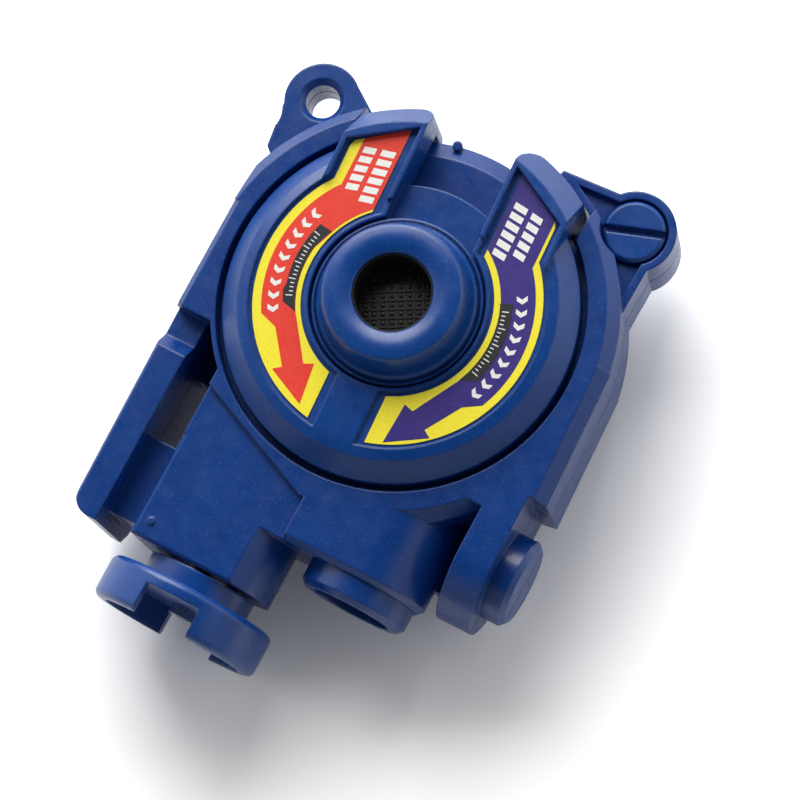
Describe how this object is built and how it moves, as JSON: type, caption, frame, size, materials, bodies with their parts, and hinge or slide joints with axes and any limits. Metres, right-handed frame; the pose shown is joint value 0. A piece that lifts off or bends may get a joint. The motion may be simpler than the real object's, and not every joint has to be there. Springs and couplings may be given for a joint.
{
  "type": "spinning top launcher",
  "caption": "Flat round launcher for a spinning top, with a horned spin selector dial, a slot for a toothed winder, and a notched cup on a geared spindle",
  "frame": {"origin": "centre of the round drum's flat face, on which the launcher lies", "axes": "+Z is the dial's axis and points out of the front, +Y points from the cup to the horns, +X points to the ear with the trunnion"},
  "size_m": [0.0638, 0.0849, 0.0304],
  "materials": {
    "case_plastic": "semi-gloss pearl blue",
    "dial_plastic": "semi-gloss pearl blue",
    "natural_plastic": "unpainted low-friction plastic",
    "black_rubber": "square grid",
    "red_label": "printed foil label",
    "violet_label": "printed foil label",
    "steel": "plated",
    "brass": "plain"
  },
  "bodies": {
    "case": {"front_shell": "case_plastic", "back_shell": "case_plastic", "case_screws": "steel", "drive_axle": "steel", "inner_spindle_bush": "brass", "outer_spindle_bush": "brass", "thrust_washer": "steel", "socket_tube": "case_plastic", "glide_ring": "natural_plastic", "dial_washer": "steel", "dial_screw": "steel"},
    "dial_body": {"dial": "dial_plastic", "hub_cap": "dial_plastic", "grip_pad": "black_rubber", "right_spin_label": "red_label", "left_spin_label": "violet_label"},
    "gate_body": {"spin_gate": "natural_plastic"},
    "drive_body": {"drive_gear": "natural_plastic"},
    "spindle_body": {"spindle_shaft": "steel", "spindle_gear": "natural_plastic", "spindle_clip": "steel", "spindle_head": "dial_plastic", "head_screw": "steel"},
    "pin_body": {"lock_pin": "dial_plastic", "lock_pin_clip": "steel"}
  },
  "joints": [
    {"name": "dial_turn", "type": "hinge", "parent": "case", "child": "dial_body", "pos_m": [0, 0, 0.022], "axis": [0, 0, 1], "range_deg": [-3.1, 0]},
    {"name": "gate_slide", "type": "slide", "parent": "case", "child": "gate_body", "axis": [0, 1, 0], "range_m": [0, 0.0011]},
    {"name": "spindle_turn", "type": "hinge", "parent": "case", "child": "spindle_body", "pos_m": [-0.0086, -0.03, 0.0128], "axis": [0, 1, 0], "continuous": true},
    {"name": "drive_turn", "type": "hinge", "parent": "case", "child": "drive_body", "pos_m": [-0.0158, -0.0255, 0.0128], "axis": [0, 1, 0], "continuous": true},
    {"name": "lock_pin_turn", "type": "hinge", "parent": "case", "child": "pin_body", "pos_m": [0.0233, 0.0248, 0.016], "axis": [0, 0, 1], "range_deg": [0, 90]}
  ],
  "couplings": [
    {"joint": "gate_slide", "follows": "dial_turn", "m_per_rad": -0.019},
    {"joint": "drive_turn", "follows": "spindle_turn", "ratio": -0.8}
  ]
}
